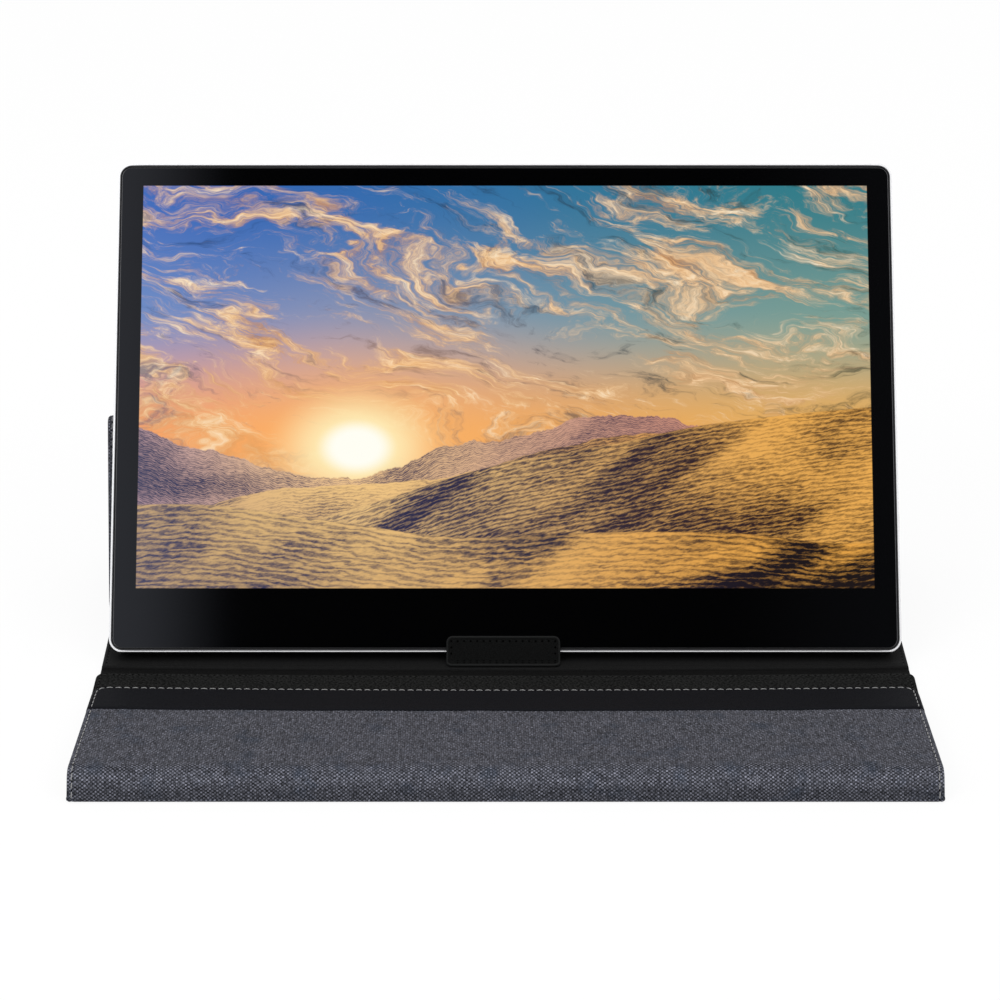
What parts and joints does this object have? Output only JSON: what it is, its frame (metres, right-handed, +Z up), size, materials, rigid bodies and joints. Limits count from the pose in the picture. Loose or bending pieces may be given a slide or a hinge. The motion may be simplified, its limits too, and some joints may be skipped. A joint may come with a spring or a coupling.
{
  "type": "portable monitor with folding cover",
  "caption": "Slim flat portable monitor propped in a folding fabric cover whose leaves make a base, a folded-over front flap and a rear prop.",
  "frame": {"origin": "centre of the overall box in X and Y, on the table plane under the cover", "axes": "+X to the right as the viewer faces the screen, +Y away from the viewer, +Z up"},
  "size_m": [0.3768, 0.2646, 0.2012],
  "materials": {
    "glass_black": "glossy black-bordered cover glass over a lit picture",
    "bead_black": "matt black adhesive bead",
    "case_silver": "fine bead-blasted silver, bright on the rim",
    "cell_dark": "dark bonded display cell",
    "guide_clear": "clear acrylic",
    "tray_steel": "plain pressed sheet",
    "foam": "open foam",
    "board_green": "green solder mask",
    "ribbon_amber": "amber film",
    "plated_metal": "bright plated sheet",
    "socket_black": "black moulding",
    "speaker_black": "black moulding",
    "screw_steel": "zinc plated",
    "button_silver": "satin silver cap",
    "canvas_grey": "heather grey plain weave",
    "leather_black": "black grained synthetic leather",
    "microfibre_black": "black brushed microfibre",
    "lining_black": "smooth black lining",
    "grey_board": "pressed fibre board",
    "magnet_metal": "nickel plated"
  },
  "bodies": {
    "base": {"rear_base_canvas": "canvas_grey", "rear_base_board": "grey_board", "rear_base_lining": "lining_black", "base_crease": "lining_black", "holding_tab": "leather_black", "rear_spine_canvas": "canvas_grey", "rear_spine_board": "grey_board", "rear_spine_lining": "lining_black", "rear_creases": "canvas_grey"},
    "front_base": {"front_base_canvas": "canvas_grey", "front_base_board": "grey_board", "front_base_lining": "microfibre_black", "front_crease": "canvas_grey"},
    "front_spine": {"front_spine_canvas": "canvas_grey", "front_spine_board": "grey_board", "front_spine_lining": "microfibre_black", "shoulder_crease": "canvas_grey"},
    "flap": {"flap_canvas": "canvas_grey", "flap_board": "grey_board", "flap_lining": "microfibre_black", "leather_band": "leather_black", "flap_magnets": "magnet_metal"},
    "rear_leg": {"rear_leg_canvas": "canvas_grey", "rear_leg_board": "grey_board", "rear_leg_lining": "microfibre_black", "top_crease": "canvas_grey"},
    "front_leg": {"front_leg_canvas": "canvas_grey", "front_leg_board": "grey_board", "front_leg_lining": "microfibre_black", "steel_strip": "magnet_metal"},
    "monitor": {"rear_shell": "case_silver", "cover_glass": "glass_black", "glass_bead": "bead_black", "lcd_cell": "cell_dark", "light_guide": "guide_clear", "panel_tray": "tray_steel", "foam_pads": "foam", "driver_board": "board_green", "panel_ribbon": "ribbon_amber", "main_board": "board_green", "shield_can": "plated_metal", "data_sockets": "plated_metal", "video_socket": "plated_metal", "headphone_jack": "socket_black", "speaker_left": "speaker_black", "speaker_right": "speaker_black", "button_board": "board_green", "tact_switches": "plated_metal", "board_screws": "screw_steel"},
    "power_button": {"power_button": "button_silver"},
    "menu_rocker": {"menu_rocker": "button_silver"}
  },
  "joints": [
    {"name": "front_base_fold", "type": "hinge", "parent": "base", "child": "front_base", "pos_m": [0, -0.01599, 0.002], "axis": [-1, 0, 0], "range_deg": [0, 110]},
    {"name": "front_spine_fold", "type": "hinge", "parent": "front_base", "child": "front_spine", "pos_m": [0, -0.13239, 0], "axis": [1, 0, 0], "range_deg": [0, 114.7]},
    {"name": "flap_fold", "type": "hinge", "parent": "front_spine", "child": "flap", "pos_m": [0, -0.12625, 0.01336], "axis": [1, 0, 0], "range_deg": [0, 69.84]},
    {"name": "prop_swing", "type": "hinge", "parent": "base", "child": "rear_leg", "pos_m": [0, 0.12481, 0], "axis": [-1, 0, 0], "range_deg": [0, 119.77]},
    {"name": "prop_fold", "type": "hinge", "parent": "rear_leg", "child": "front_leg", "pos_m": [-0.001, 0.06801, 0.09126], "axis": [1, 0, 0], "range_deg": [0, 46.02]},
    {"name": "monitor_lift", "type": "slide", "parent": "base", "child": "monitor", "axis": [0, 0.5592, 0.829], "range_m": [0, 0.06]},
    {"name": "power_press", "type": "slide", "parent": "monitor", "child": "power_button", "axis": [-1, 0, 0], "range_m": [0, 0.0004], "stiffness_N_per_m": 1500},
    {"name": "menu_rock", "type": "hinge", "parent": "monitor", "child": "menu_rocker", "pos_m": [0.18235, 0.04715, 0.07589], "axis": [0, -0.829, 0.5592], "range_deg": [-2, 2], "stiffness_Nm_per_rad": 0.35}
  ],
  "couplings": [
    {"joint": "flap_fold", "follows": "front_spine_fold", "ratio": 0.60874},
    {"joint": "prop_fold", "follows": "prop_swing", "ratio": 0.38408}
  ]
}
